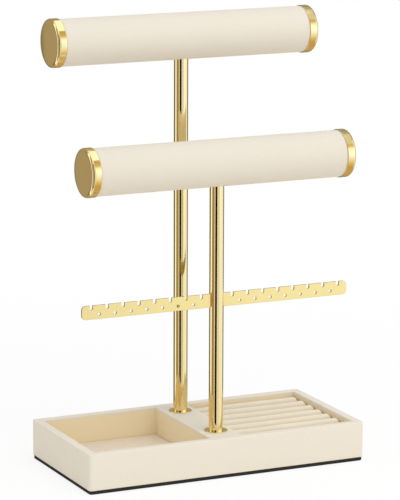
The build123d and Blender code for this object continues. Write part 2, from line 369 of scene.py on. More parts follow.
class Finish:
    """A material with one Principled shader, which is fed by signals or set to plain values."""

    def __init__(self, name, **values):
        self.material = bpy.data.materials.new(name)
        self.material.use_nodes = True
        tree = self.material.node_tree
        self.shader = tree.nodes["Principled BSDF"]
        self.wire = Signal(tree)
        self.place = self.wire.add("TexCoord", output="Object")
        for socket, value in values.items():
            self.set(socket.replace("_", " "), value)

    def set(self, socket, value):
        """Sets or links one socket of the shader."""
        self.wire.feed(self.shader.inputs[socket], value)

    def noise(self, size, detail=2.0, roughness=0.5, place=None):
        """Cloudy noise whose patches are about the given size, 0 to 1."""
        return self.wire.add("TexNoise", None, {
            "Vector": place or self.place, "Scale": 1 / size, "Detail": detail, "Roughness": roughness})

    def cells(self, size, feature="DISTANCE_TO_EDGE", place=None):
        """A net of cells of the given size: the distance to a cell's edge or to its middle."""
        return self.wire.add("TexVoronoi", {"feature": feature}, {
            "Vector": place or self.place, "Scale": 1 / size}, "Distance")

    def stretched(self, x, y, z):
        """Object coordinates stretched along the axes, for grain that runs one way."""
        return self.wire.add("Mapping", None, {"Vector": self.place, "Scale": (x, y, z)})

    def height(self):
        """Height of a point above the table, in metres."""
        return self.wire.add("SeparateXYZ", None, {"Vector": self.place}, "Z")

    def bump(self, height, depth, strength):
        """Feeds the shader's normal from a height of 0 to 1 that stands for the given depth."""
        self.set("Normal", self.wire.add(
            "Bump", None, {"Strength": strength, "Distance": depth, "Height": height}))

    def ramp(self, signal, low, high):
        """A signal stretched so that low becomes 0 and high becomes 1."""
        return self.wire.add("MapRange", None, {"Value": signal, "From Min": low, "From Max": high})


def bare_tree(owner):
    """The shader tree of a material or a world, emptied and ready for nodes."""
    owner.use_nodes = True
    owner.node_tree.nodes.clear()
    return Signal(owner.node_tree)


# Finishes

def inside_tray_shade(finish):
    """Mask of the painted warm shade and bounce light: 1 on faces inside the tray's outline and below its
    rim, 0 elsewhere, with a soft change at the rim.
    """
    share = finish.wire.add(
        "VectorMath", {"operation": "DIVIDE"}, {0: finish.place, 1: CAVITY_HALF + INNER_SHADE_MARGIN})
    x = finish.wire.add("SeparateXYZ", None, {"Vector": share})
    y = x.also("Y")
    reach = x.calculate("MAXIMUM", x * x, y * y)
    start, full = (TRAY_HIGH[2] - depth for depth in INNER_SHADE_FADE)
    return finish.ramp(reach, low=1.001, high=1.0) * finish.ramp(finish.height(), start, full)


def cream_leather(name, settings, shade_share=1.0):
    """Coated leather: pebbles between fine creases, pores, and a faint drift of tone over the hide. A shade
    share below 1 paints the whole finish darker, as painted shade.
    """
    raised, crease = (shade(c, shade_share) for c in (settings.colour, settings.crease_shade_colour))
    finish = Finish(name, Specular_IOR_Level=0.35)
    wander = finish.noise(size=3 * settings.grain_size, detail=1.0)
    bent = finish.wire.add("VectorMath", {"operation": "MULTIPLY_ADD"}, {
        0: wander.also("Color"), 1: (settings.grain_size,) * 3, 2: finish.place})
    pebble = finish.ramp(finish.cells(size=settings.grain_size, place=bent), low=0.0, high=0.22)
    pores = finish.noise(size=settings.grain_size / 4)
    drift = finish.noise(size=24 * MM)
    # The creases between the pebbles are painted darker, as painted shade
    tone = mixed(pebble, crease, raised)
    tone = mixed(drift * 0.25, tone, crease)
    # The faces inside the tray are painted warmer, as painted shade and bounce light
    finish.set("Base Color", mixed(inside_tray_shade(finish), tone, settings.inner_shade_colour))
    finish.set("Roughness", 0.62 - 0.1 * pebble + 0.08 * pores)
    finish.bump(pebble * 0.8 + pores * 0.2, depth=settings.grain_depth, strength=0.5)
    return finish.material


def velvet_pile(name, colour, pile, sheen, crest=None):
    """Short pile: patches that are brushed one way or the other, over a fine nap of fibre ends.

    Where the height of a crest is given, the pile is painted darker below it, as painted shade in the groove
    between rolls."""
    finish = Finish(
        name, Specular_IOR_Level=0.1, Sheen_Weight=sheen, Sheen_Roughness=0.45, Sheen_Tint=opaque(colour))
    brushed = finish.ramp(finish.noise(size=9 * MM, detail=3.0, roughness=0.6), low=0.35, high=0.65)
    nap = finish.noise(size=pile, roughness=0.7)
    tone = mixed(brushed, shade(colour, 0.95), shade(colour, 1.02))
    tone = mixed(nap * 0.3, tone, shade(colour, 0.84))
    if crest is not None:
        # Painted shade in the grooves between the rolls
        start, darkest = (crest - depth for depth in GROOVE_SHADE_FADE)
        groove_shade = finish.ramp(finish.height(), start, darkest)
        tone = mixed(groove_shade, tone, shade(colour, 0.78))
    finish.set("Base Color", tone)
    finish.set("Roughness", 0.86 + 0.12 * nap)
    finish.bump(nap + 0.4 * brushed, depth=0.15 * MM, strength=0.5)
    return finish.material


def foam_rubber(colour):
    """Matt cellular rubber: fine closed cells with a few that show paler."""
    finish = Finish("foam_rubber", Specular_IOR_Level=0.25)
    cells = finish.ramp(finish.cells(size=0.45 * MM, feature="F1"), low=0.1, high=0.8)
    speckle = finish.ramp(finish.noise(size=0.8 * MM, detail=3.0), low=0.55, high=0.75)
    finish.set("Base Color", mixed(speckle, colour, shade(colour, 1.9)))
    finish.set("Roughness", 0.78 + 0.14 * cells)
    finish.bump(cells, depth=0.1 * MM, strength=0.4)
    return finish.material


def plated_gold(name, colour, roughness, haze):
    """Polished plating: a mirror with a faint unevenness, hairlines and a haze that varies its polish."""
    finish = Finish(name, Metallic=1.0)
    cloud = finish.noise(size=9 * MM)
    hairlines = finish.noise(size=0.5 * MM, place=finish.stretched(1.0, 1.0, 0.06))
    finish.set("Base Color", mixed(cloud, shade(colour, 0.97), colour))
    finish.set("Roughness", roughness + haze * cloud + 0.4 * haze * hairlines)
    finish.bump(cloud, depth=0.01 * MM, strength=0.3)
    return finish.material


def pressed_board():
    """Raw fibreboard: felted fibres lying flat, with paler chips."""
    finish = Finish("pressed_board", Specular_IOR_Level=0.2)
    fibres = finish.noise(size=1.2 * MM, detail=5.0, roughness=0.7, place=finish.stretched(0.3, 1.0, 2.0))
    chips = finish.ramp(finish.cells(size=1.6 * MM, feature="F1"), low=0.2, high=0.7)
    tone = mixed(fibres, linear(148, 116, 82), linear(196, 164, 122))
    finish.set("Base Color", mixed(chips * 0.3, tone, linear(214, 186, 148)))
    finish.set("Roughness", 0.8 + 0.15 * fibres)
    finish.bump(fibres, depth=0.1 * MM, strength=0.4)
    return finish.material


def wound_paper():
    """Grey-brown board tube: paper fibres with the faint bands of its winding."""
    finish = Finish("wound_paper", Specular_IOR_Level=0.2)
    bands = finish.wire.add("TexWave", {"wave_type": "BANDS", "bands_direction": "DIAGONAL"}, {
        "Vector": finish.place, "Scale": 12.0, "Distortion": 0.5}, 1)
    fibres = finish.noise(size=0.7 * MM, detail=4.0, roughness=0.65)
    tone = mixed(fibres, linear(140, 112, 84), linear(184, 156, 122))
    finish.set("Base Color", mixed(bands * 0.2, tone, linear(120, 94, 68)))
    finish.set("Roughness", 0.82 + 0.12 * fibres)
    finish.bump(fibres, depth=0.06 * MM, strength=0.4)
    return finish.material


def worked_metal(name, light, dark, roughness):
    """Turned or drawn metal: fine tool marks round the piece and a spangle of tone."""
    finish = Finish(name, Metallic=1.0)
    marks = finish.noise(size=0.25 * MM, place=finish.stretched(0.1, 0.1, 1.0))
    spangle = finish.noise(size=2.5 * MM)
    finish.set("Base Color", mixed(spangle, dark, light))
    finish.set("Roughness", roughness + 0.15 * marks)
    finish.bump(marks, depth=0.03 * MM, strength=0.3)
    return finish.material


# Surfaces

def inner_steps(start, stop, count):
    """Numbers in even steps from start to stop, without these two ends."""
    return np.linspace(start, stop, count)[1:-1]


def quarter_turn(count):
    """Angles in even steps from zero to a right angle."""
    return np.linspace(0, math.pi / 2, count)


def full_turn(count):
    """Angles in even steps once round, without the last one, which is the first again."""
    return np.linspace(0, 2 * math.pi, count, endpoint=False)


def eased(share):
    """A share held between 0 and 1 that starts and stops gently: three squares of it less two cubes."""
    share = np.clip(share, 0, 1)
    return share * share * (3 - 2 * share)


def quads(rows, columns, rows_close=False, columns_close=True):
    """Faces between neighbours on a grid. A direction that closes joins its last line to its first."""
    row, column = np.meshgrid(
        np.arange(rows - (not rows_close)), np.arange(columns - (not columns_close)), indexing="ij")
    row, column = row.ravel(), column.ravel()
    here, below, beside = row * columns, (row + 1) % rows * columns, (column + 1) % columns
    return np.stack([here + column, here + beside, below + beside, below + column], 1).tolist()


def closed_tube(rings):
    """Points and faces of a surface through rings of points, with one flat face over each end ring."""
    count, around = rings.shape[:2]
    first = list(range(around))
    last = [(count - 1) * around + n for n in first]
    return rings.reshape(-1, 3), quads(count, around) + [first[::-1], last]


def closed_loop(sections):
    """Points and faces of a closed section carried round a closed path: both directions of the grid close."""
    rows, columns = sections.shape[:2]
    return sections.reshape(-1, 3), quads(rows, columns, rows_close=True)


def rounded_rectangle(half_x, half_y, radius, x_shares, y_shares, turns):
    """Points round a rectangle, anticlockwise from its +X side.

    Each straight run has points at the given shares, -1 to 1, of its half length. Each corner is a quarter
    circle at the given turns, 0 to a right angle."""
    run_x, run_y = half_x - radius, half_y - radius
    right = np.stack([np.full_like(y_shares, half_x), y_shares * run_y], 1)
    top = np.stack([-x_shares * run_x, np.full_like(x_shares, half_y)], 1)
    first = np.stack([run_x + radius * np.cos(turns), run_y + radius * np.sin(turns)], 1)
    second = np.stack([-run_x - radius * np.sin(turns), run_y + radius * np.cos(turns)], 1)
    half = np.concatenate([right, first, top, second])
    return np.concatenate([half, -half])


def new_mesh(name, points, faces):
    """A mesh whose faces point outwards: a closed shell with a negative volume is turned inside out."""
    mesh = bpy.data.meshes.new(name)
    mesh.from_pydata(points.tolist(), [], faces)
    shell = bmesh.new()
    shell.from_mesh(mesh)
    if shell.calc_volume(signed=True) < 0:
        bmesh.ops.reverse_faces(shell, faces=shell.faces)
    shell.to_mesh(mesh)
    shell.free()
    return mesh


def new_object(data):
    """An object at the origin that shows a mesh or a curve, or that is a camera or a lamp."""
    piece = bpy.data.objects.new(data.name, data)
    bpy.context.scene.collection.objects.link(piece)
    return piece


def smooth(mesh, sharp_degrees):
    """Shades a mesh smooth, but not over edges that turn by more than the given degrees."""
    mesh.polygons.foreach_set("use_smooth", np.ones(len(mesh.polygons), bool))
    mesh.set_sharp_from_angle(angle=math.radians(sharp_degrees))


def new_piece(name, surface, sharp_degrees):
    """An object made of a surface's points and faces, and shaded."""
    mesh = new_mesh(name, *surface)
    smooth(mesh, sharp_degrees)
    return new_object(mesh)


def join_stand(piece, body, nodes, material):
    """Makes a piece part of the stand: its body, the nodes that it stands for and its finish."""
    piece.data.materials.clear()
    piece.data.materials.append(material)
    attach(piece, body)
    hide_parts(*nodes)


def dress(nodes, material):
    """Gives CAD nodes a finish in place of the plain one that they were packed with."""
    for name in nodes:
        for slot in frame["nodes"][name].material_slots:
            slot.material = material


def evaluated_mesh(piece):
    """A piece's mesh with its modifiers applied, as a new mesh."""
    graph = bpy.context.evaluated_depsgraph_get()
    return bpy.data.meshes.new_from_object(piece.evaluated_get(graph))


# Tray

def tray_section(inner_round, settings):
    """The skin's closed section for each point of the path, as depths from the outer face and heights.

    It turns up from under the bottom edge on a small arc, climbs the outer face with a slight bow, goes over
    the rim on two arcs with a flat between them, and down the inner face. It returns along the glued side,
    one leather thickness in. inner_round is the arc's radius at the rim's inner edge, for each point."""
    low, high = TRAY_LOW[2], TRAY_HIGH[2]
    fold, outer = settings.fold_round, settings.rim_round
    ones = np.ones_like(inner_round)
    rise = inner_steps(0, 1, 14)
    arc = quarter_turn(8)
    flat = inner_steps(0, 1, 7)
    parts = [
        (ones * fold * (1 - np.sin(arc)), ones * (low + fold * (1 - np.cos(arc)))),
        (-ones * settings.bow * np.sin(math.pi * rise) ** 2,
         ones * (low + fold + rise * (high - outer - low - fold))),
        (ones * outer * (1 - np.cos(arc)), ones * (high - outer * (1 - np.sin(arc)))),
        (outer + (RIM_WIDTH - inner_round - outer) * flat, ones * high + 0 * flat),
        (RIM_WIDTH - inner_round * (1 - np.sin(arc)), high - inner_round * (1 - np.cos(arc))),
        (ones * RIM_WIDTH + 0 * rise, high - inner_round - rise * (high - inner_round - BOARD_TOP)),
        (ones * np.array([RIM_WIDTH, RIM_WIDTH - LEATHER, RIM_WIDTH - LEATHER, LEATHER, LEATHER]),
         ones * np.array([BOARD_TOP, BOARD_TOP, high - LEATHER, high - LEATHER, low])),
    ]
    depths, heights = zip(*parts)
    return np.concatenate(depths, 1), np.concatenate(heights, 1)


def tray_skin(settings):
    """Leather folded over the tray's four walls: a closed section carried round the tray.

    A point at some depth lies that share of the way from the outer outline to the inner one. Where the
    platform meets the long sides, the inner edge of the rim closes to a narrow seam."""
    half_x, half_y = TRAY_HIGH[0], TRAY_HIGH[1]
    seam = PLATFORM_HALF / (half_x - RIM_WIDTH)
    near_seam = np.linspace(-SEAM_SHARE, SEAM_SHARE, 9)
    x_shares = np.sort(np.concatenate([inner_steps(-1, 1, 61), near_seam - seam, near_seam + seam]))
    y_shares = inner_steps(-1, 1, 31)
    turns = quarter_turn(9)
    outer = rounded_rectangle(half_x, half_y, settings.corner_radius, x_shares, y_shares, turns)
    inner = rounded_rectangle(
        half_x - RIM_WIDTH, half_y - RIM_WIDTH, settings.inner_corner_radius, x_shares, y_shares, turns)
    beside = eased((np.abs(inner[:, :1]) - PLATFORM_HALF) / settings.rim_round + 0.5)
    inner_round = settings.seam_round + (settings.rim_round - settings.seam_round) * beside
    depth, height = tray_section(inner_round, settings)
    share = depth[..., None] / RIM_WIDTH
    level = outer[:, None] * (1 - share) + inner[:, None] * share
    return closed_loop(np.concatenate([level, height[..., None]], 2))


def soft_plate(low, high, corner, edge):
    """A plate with round edges: rounded rectangles that shrink towards the middle of each face.

    The upper and the lower edge are quarter circles in section."""
    middle, half = (low + high) / 2, (high - low) / 2
    shares = inner_steps(-1, 1, 25)
    turns = quarter_turn(6)
    bend = quarter_turn(5)
    inward = edge * (1 - np.sin(bend))
    fall = edge * (1 - np.cos(bend))
    reach = min(half[:2]) * np.array(PLATE_SHARES)
    insets = np.concatenate([reach, inward, inward[::-1], reach[::-1]])
    tops = np.concatenate([0 * reach, fall])
    heights = np.concatenate([high[2] - tops, low[2] + tops[::-1]])
    rings = [
        np.column_stack([
            rounded_rectangle(half[0] - inset, half[1] - inset, corner, shares, shares, turns) + middle[:2],
            np.full(4 * (len(shares) + len(turns)), height)])
        for inset, height in zip(insets, heights)
    ]
    return closed_tube(np.array(rings))


# Ring rolls

def roll_start(low, high, settings, random):
    """One ring roll before it fills: rings of points along X, each a crown over sides that draw in to a foot.

    Over the ends the section draws in along a quarter circle, then shrinks to the middle of the end face.
    Slow waves along the roll, each with a phase of its own, raise and lower its crest a little. Gives the
    rings and the mask of points on the foot."""
    swell, bend = settings.swell, settings.end_round
    half = (high[1] - low[1]) / 2 - swell
    height = high[2] - low[2] - swell
    shoulder = height - half
    crown = np.linspace(0, math.pi, 21)
    side = np.linspace(0, 1, 8)[:-1]
    side_y = half - settings.draw_in * (1 - np.sin(side * math.pi / 2))
    foot = inner_steps(1, -1, 9) * (half - settings.draw_in)
    across = np.concatenate([side_y, half * np.cos(crown), -side_y[::-1], -foot])
    up = np.concatenate([side * shoulder, shoulder + half * np.sin(crown), side[::-1] * shoulder, 0 * foot])

    turn = quarter_turn(7)
    start, stop = low[0] + swell, high[0] - swell
    straight = inner_steps(start + bend, stop - bend, 52)
    face = np.array(ROLL_END_SHARES)
    end_x = np.concatenate([0 * face, bend * (1 - np.cos(turn))])
    end_inset = np.concatenate([bend + 0 * face, bend * (1 - np.sin(turn))])
    end_share = np.concatenate([face, 1 + 0 * turn])
    x = np.concatenate([start + end_x, straight, stop - end_x[::-1]])
    inset = np.concatenate([end_inset, 0 * straight, end_inset[::-1]])[:, None]
    share = np.concatenate([end_share, 1 + 0 * straight, end_share[::-1]])[:, None]

    y = across * (half - inset) / half * share
    z = up * (height - inset) / height
    z = z * share + (1 - share) * (height - inset) / 2
    along = (x - start) / (stop - start) * 2 * math.pi
    waves = sum(np.sin(k * along + random.uniform(0, 2 * math.pi)) / k for k in ROLL_WAVES)
    lift = settings.unevenness * waves[:, None] * up / height
    rings = np.stack([
        np.broadcast_to(x[:, None], y.shape), (low[1] + high[1]) / 2 + y, low[2] + z + lift], 2)
    return rings, (np.broadcast_to(up, y.shape) < FOOT_HEIGHT).ravel()


def fill_rolls(rolls, feet, settings):
    """Fills the rolls as closed cloth under pressure, with their feet held. No point moves past the swell.

    The cloth moves at a larger scale, where its own weight and stiffness suit its size."""
    scene, starts = bpy.context.scene, []
    for roll, foot in zip(rolls, feet):
        start = np.empty(3 * len(roll.data.vertices))
        roll.data.vertices.foreach_get("co", start)
        roll.data.vertices.foreach_set("co", start * settings.scale_up)
        starts.append(start.reshape(-1, 3))
        held = roll.vertex_groups.new(name="foot")
        held.add(np.flatnonzero(foot).tolist(), 1.0, "REPLACE")
        cloth = roll.modifiers.new("fill", "CLOTH")
        cloth.settings.use_pressure = True
        cloth.settings.uniform_pressure_force = settings.pressure
        cloth.settings.vertex_group_mass = held.name
        cloth.settings.effector_weights.gravity = 0
        cloth.collision_settings.use_collision = False
    for number in range(1, settings.frames + 1):
        scene.frame_set(number)
    for roll, start in zip(rolls, starts):
        filled = evaluated_mesh(roll)
        end = np.empty(start.size)
        filled.vertices.foreach_get("co", end)
        move = end.reshape(-1, 3) / settings.scale_up - start
        length = np.linalg.norm(move, axis=1, keepdims=True)
        move *= np.minimum(1, settings.swell / np.maximum(length, TINY))
        roll.modifiers.clear()
        roll.vertex_groups.clear()
        roll.data.vertices.foreach_set("co", (start + move).ravel())
        roll.data.update()
        bpy.data.meshes.remove(filled)
    scene.frame_set(1)


# Bars

def bar_sleeve(bar, settings):
    """Leather round one bar, with its edges lapped along the lower back.

    Round the bar the radius stands up by the lap's step at the cut edge and eases back over the lap's width.
    Along the bar the lap is pressed flat under the end caps, and each cap's rim presses a narrow bell-shaped
    groove. The section runs along the outside and back along the inside, so the sleeve is a closed wall."""
    low, high = corners(f"{bar}_bar_wrap")
    middle, half = (low + high) / 2, (high - low) / 2
    radius = half[2]
    rim = corners(f"{bar}_bar_cap_right")[0][0]
    edge, lap = settings.lap_slope / radius, settings.lap_width / radius
    turn = np.concatenate([np.linspace(edge, lap, 14), np.linspace(lap, 2 * math.pi - edge, 120)[1:]])
    step = settings.lap_step * (1 - eased(turn / lap))
    near_rim = np.linspace(-RIM_REACH, RIM_REACH, 21)
    along = np.sort(np.concatenate([np.linspace(-half[0], half[0], 60), rim + near_rim, -rim - near_rim]))
    free = np.clip((rim - np.abs(along)) / settings.press_length, 0, 1)
    groove = settings.pinch * np.exp(-((np.abs(along) - rim) / settings.pinch_width) ** 2)
    outer = radius + step[:, None] * free - groove
    inner = np.full_like(outer, radius - LEATHER)
    spread = np.concatenate([outer, inner[:, ::-1]], 1)
    x = np.concatenate([along, along[::-1]])
    angle = (turn + settings.lap_angle)[:, None]
    return closed_loop(np.stack([
        np.broadcast_to(middle[0] + x, spread.shape),
        middle[1] + spread * np.sin(angle),
        middle[2] - spread * np.cos(angle)], 2))


def turned_cap(node, settings):
    """A drawn cap: a profile of distances from its outer face and radii, turned about the bar's axis.

    The face is a flat dome, falling off with the square of the radius. A quarter circle leads to the skirt,
    whose rim is rounded, and the inside follows at the thickness of the wall."""
    low, high = corners(node)
    middle, width, radius = (low + high) / 2, high[0] - low[0], (high[2] - low[2]) / 2
    bend, dome, wall, face = settings.cap_round, settings.cap_dome, settings.cap_wall, settings.cap_face
    lip, inner = wall * CAP_LIP_SHARE, bend - face + dome
    turn = quarter_turn(15)
    share = np.linspace(CAP_CENTRE_SHARE, 1, 12)[:-1]
    skirt = inner_steps(0, 1, 8)
    profile = np.concatenate([
        np.stack([dome * share ** 2, (radius - bend) * share], 1),
        np.stack([dome + bend * (1 - np.cos(turn)), radius - bend * (1 - np.sin(turn))], 1),
        np.stack([dome + bend + (width - lip - dome - bend) * skirt, radius + 0 * skirt], 1),
        np.stack([width - lip * (1 - np.sin(turn)), radius - lip * (1 - np.cos(turn))], 1),
        np.stack([dome + bend + (width - dome - bend) * (1 - skirt), radius - wall + 0 * skirt], 1),
        np.stack([dome + bend - inner * np.sin(turn), radius - wall - inner * (1 - np.cos(turn))], 1),
        np.stack([face + 0 * share, (radius - wall - inner) * share[::-1]], 1)])
    around = full_turn(144)
    x = low[0] + profile[:, :1] if middle[0] < 0 else high[0] - profile[:, :1]
    return closed_tube(np.stack(np.broadcast_arrays(
        x, middle[1] + profile[:, 1:] * np.cos(around), middle[2] + profile[:, 1:] * np.sin(around)), 2))


def cylinder(centre, radius, low, high):
    """An upright cylinder: the same circle at two heights."""
    turn = full_turn(64)
    circle = np.stack([centre[0] + radius * np.cos(turn), centre[1] + radius * np.sin(turn)], 1)
    return closed_tube(np.stack([np.column_stack([circle, np.full(len(turn), z)]) for z in (low, high)]))


def cut_hole(mesh, centre, radius, low, high):
    """The mesh with an upright round hole cut through it, as a new mesh under the same name."""
    whole = new_object(mesh)
    drill = new_object(new_mesh("drill", *cylinder(centre, radius, low, high)))
    cut = whole.modifiers.new("hole", "BOOLEAN")
    cut.object, cut.operation, cut.solver = drill, "DIFFERENCE", "EXACT"
    result, name = evaluated_mesh(whole), mesh.name
    for used in (whole, drill):
        data = used.data
        bpy.data.objects.remove(used)
        bpy.data.meshes.remove(data)
    result.name = name
    return result


# Earring strip

def strip_loops(settings):
    """The strip's outline and holes in its own plane, about its middle: lists of closed loops of points.

    The outline is a rectangle with round corners, whose upper edge drops into notches with half-round floors.
    The holes stand between the notches, below the middle, and one more takes the screw."""
    low, high = corners("earring_strip")
    half_x, half_z = (high[0] - low[0]) / 2, (high[2] - low[2]) / 2
    quarter, circle = quarter_turn(9), full_turn(28)
    corner = settings.strip_corner
    run = np.array([half_x - corner, half_z - corner])

    def arc(side, start):
        """A quarter circle round one corner, from the given angle on."""
        turn = quarter + start
        return side * run + corner * np.stack([np.cos(turn), np.sin(turn)], 1)

    slot = settings.notch_width / 2
    floor = half_z - settings.notch_depth + slot
    dip = np.linspace(0, -math.pi, 13)
    notch = np.concatenate([
        [[slot, half_z]], np.stack([slot * np.cos(dip), floor + slot * np.sin(dip)], 1), [[-slot, half_z]]])
    numbers = np.arange(1, settings.notch_count + 1)
    places = settings.notch_pitch * np.concatenate([numbers[::-1], -numbers])
    outline = np.concatenate([
        arc((1, -1), -math.pi / 2), arc((1, 1), 0), *[notch + (place, 0) for place in places],
        arc((-1, 1), math.pi / 2), arc((-1, -1), math.pi)])

    ring = np.stack([np.cos(circle), np.sin(circle)], 1)
    gaps = settings.notch_pitch * (numbers[:-1] + 0.5)
    holes = [settings.hole_diameter / 2 * ring + (place, -settings.hole_drop) for place in (*gaps, *-gaps)]
    return [outline, *holes, settings.screw_diameter / 2 * ring]


def strip_mesh(settings):
    """A flat curve with broken edges, filled, raised to the strip's thickness and stood up in its place."""
    low, high = corners("earring_strip")
    edge = settings.strip_edge
    curve = bpy.data.curves.new("earring_strip_plate", "CURVE")
    curve.dimensions, curve.fill_mode = "2D", "BOTH"
    curve.extrude = (high[1] - low[1]) / 2 - edge
    curve.bevel_depth, curve.bevel_resolution, curve.offset = edge, 2, -edge
    for loop in strip_loops(settings):
        spline = curve.splines.new("POLY")
        spline.points.add(len(loop) - 1)
        spline.points.foreach_set("co", np.insert(loop, [2, 2], [0, 1], axis=1).ravel())
        spline.use_cyclic_u = True
    flat = new_object(curve)
    mesh = evaluated_mesh(flat)
    bpy.data.objects.remove(flat)
    bpy.data.curves.remove(curve)
    mesh.name = "earring_strip_plate"
    mesh.transform(Matrix.Translation(Vector((low + high) / 2)) @ Matrix.Rotation(math.pi / 2, 4, "X"))
    shell = bmesh.new()
    shell.from_mesh(mesh)
    bmesh.ops.remove_doubles(shell, verts=shell.verts, dist=MERGE_DISTANCE)
    bmesh.ops.recalc_face_normals(shell, faces=shell.faces)
    for face in shell.faces:
        face.smooth = abs(face.normal.y) < FLAT_NORMAL
    shell.to_mesh(mesh)
    shell.free()
    return mesh


# Stage

WHITE = (1, 1, 1, 1)
# The camera's frame, in millimetres, and how far it sees, in metres
SENSOR_WIDTH = 36
CAMERA_REACH = 50
FLOOR_RADIUS = 6
# Distances from the stand's middle at which the floor starts to fade and is plain white
FLOOR_FADE = (0.2, 0.9)

# The screens' distance from the stand's axis, the height of their middle, and their rows and columns
SCREEN_DISTANCE = 4.0
SCREEN_HEIGHT = 0.25
SCREEN_GRID = (41, 17)
# Colours that several screens share
OLIVE_LOW = (0.42, 0.37, 0.25)
OLIVE_HIGH = (0.4, 0.37, 0.27)
HIGH_WINDOW = (1.3, 1.36, 1.5)
HIGH_SCRIM = (0.81, 0.79, 0.75)
HIGH_CARD = (0.48, 0.46, 0.42)
# Colours of the front screen at even steps from its lower edge to its upper one
FRONT_FADE = (
    (0.66, 0.48, 0.2), (0.8, 0.66, 0.34), (0.98, 0.92, 0.72), (1.07, 1.15, 1.4), (1.3, 1.42, 1.75),
    (1.5, 1.62, 1.95), (1.3, 1.28, 1.25), (0.78, 0.62, 0.34), (0.64, 0.49, 0.25), (0.66, 0.5, 0.26),
)


def rear_fade(dark, below, above):
    """Colours of a screen behind the stand: olive, but the given colour at the height that the posts show."""
    return (*[OLIVE_LOW] * below, *[dark] * 2, *[OLIVE_HIGH] * above)


# Screens that only the metal sees, like the cards and windows round a studio table: where each starts and
# ends, in degrees round from the camera, its lowest and highest elevation, and its colour or colours.
SCREENS = {
    "edge_left": (-180, -133, -64, 55, rear_fade((0.24, 0.23, 0.16), 3, 4)),
    "behind_left": (-133, -125, -60, 50, (0.43, 0.36, 0.27)),
    "edge_card": (-125, -106, -64, 55, rear_fade((0.04, 0.035, 0.02), 3, 4)),
    "left_window": (-106, -77, -60, 60, (1.16, 1.26, 1.6)),
    "left_card": (-77, -38, -60, 60, (0.37, 0.28, 0.14)),
    "left_scrim": (-38, -21, -60, 60, (0.82, 0.76, 0.76)),
    "camera_gap": (-21, 9, -60, 45, (0.01, 0.005, 0.002)),
    "front_scrim": (9, 46, -60, 45, (0.86, 0.89, 1.08)),
    "front_window": (46, 66, -48, 59, FRONT_FADE),
    "front_side": (66, 84, -48, 59, (*FRONT_FADE[:7], *[HIGH_SCRIM] * 3)),
    "top_window": (30, 180, 62.6, 85, HIGH_WINDOW),
    "top_front": (30, 84, 59, 62.6, HIGH_WINDOW),
    "top_rear": (150, 180, 57, 62.6, HIGH_WINDOW),
    "high_rear": (161, 180, 49, 57, HIGH_WINDOW),
    "rear_window": (168.5, 180, 41, 49, HIGH_WINDOW),
    "right_window": (84, 116, -48, 49, (1.07, 1.15, 1.4)),
    "rear_card": (116, 168.5, 41, 49, HIGH_CARD),
    "high_scrim": (84, 161, 49, 57, (HIGH_CARD, HIGH_CARD, HIGH_SCRIM)),
    "top_scrim": (84, 150, 57, 62.6, HIGH_SCRIM),
    "behind_right": (116, 180, -48, 41, rear_fade((0.25, 0.25, 0.2), 2, 3)),
    "low_card": (46, 180, -80, -48, (0.62, 0.43, 0.17)),
}


def camera_axes(settings):
    """The camera's right, up and back directions, from its azimuth, elevation and roll."""
    a, e, r = settings.azimuth, settings.elevation, settings.roll
    back = Vector((math.sin(a) * math.cos(e), -math.cos(a) * math.cos(e), math.sin(e)))
    right = Vector((math.cos(a), math.sin(a), 0))
    up = back.cross(right)
    return right * math.cos(r) + up * math.sin(r), up * math.cos(r) - right * math.sin(r), back


def place_camera(settings):
    """A camera at the photograph's angle, with its matrix made of its axes and its place."""
    right, up, back = camera_axes(settings)
    data = bpy.data.cameras.new("camera")
    data.lens, data.sensor_width, data.clip_end = settings.lens, SENSOR_WIDTH, CAMERA_REACH
    camera = new_object(data)
    place = Vector(settings.target) + back * settings.distance
    camera.matrix_world = Matrix.Translation(place) @ Matrix((right, up, back)).transposed().to_4x4()
    bpy.context.scene.camera = camera


def seen(wire):
    """1 for rays from the camera and for rays that metal or glass send on, 0 for light."""
    path = wire.add("LightPath", output="Is Camera Ray")
    return path + path.also("Is Glossy Ray") + path.also("Is Transmission Ray")


def white_surroundings(settings):
    """Even light from all round, which is seen as plain white."""
    world = bpy.data.worlds.new("studio")
    bpy.context.scene.world = world
    wire = bare_tree(world)
    light = wire.add("Background", None, {"Color": WHITE, "Strength": settings.sky})
    white = wire.add("Background", None, {"Color": WHITE, "Strength": 1.0})
    mix = wire.add("MixShader", None, {0: seen(wire), 1: light, 2: white})
    wire.add("OutputWorld", None, {"Surface": mix})


def studio_floor(settings):
    """A round floor that keeps the stand's shadow and fades to plain white further out."""
    turn = full_turn(96)
    circle = np.stack([np.cos(turn), np.sin(turn), 0 * turn], 1) * FLOOR_RADIUS
    mesh = bpy.data.meshes.new("floor")
    mesh.from_pydata(circle.tolist(), [], [list(range(len(circle)))])
    material = bpy.data.materials.new("floor")
    wire = bare_tree(material)
    place = wire.add("TexCoord", output="Object")
    away = wire.add("VectorMath", {"operation": "LENGTH"}, {0: place}, "Value")
    start, stop = FLOOR_FADE
    fade = wire.add("MapRange", {"interpolation_type": "SMOOTHSTEP"}, {
        "Value": away, "From Min": start, "From Max": stop, "To Min": settings.floor_glow, "To Max": 1.0})
    direct = seen(wire)
    colour = mixed(direct, settings.floor_bounce, settings.floor_colour)
    paper = wire.add("BsdfDiffuse", None, {"Color": colour})
    white = wire.add("Emission", None, {"Color": WHITE, "Strength": 1.0})
    mix = wire.add("MixShader", None, {0: fade * direct, 1: paper, 2: white})
    wire.add("OutputMaterial", None, {"Surface": mix})
    mesh.materials.append(material)
    floor = new_object(mesh)
    floor.visible_glossy = False


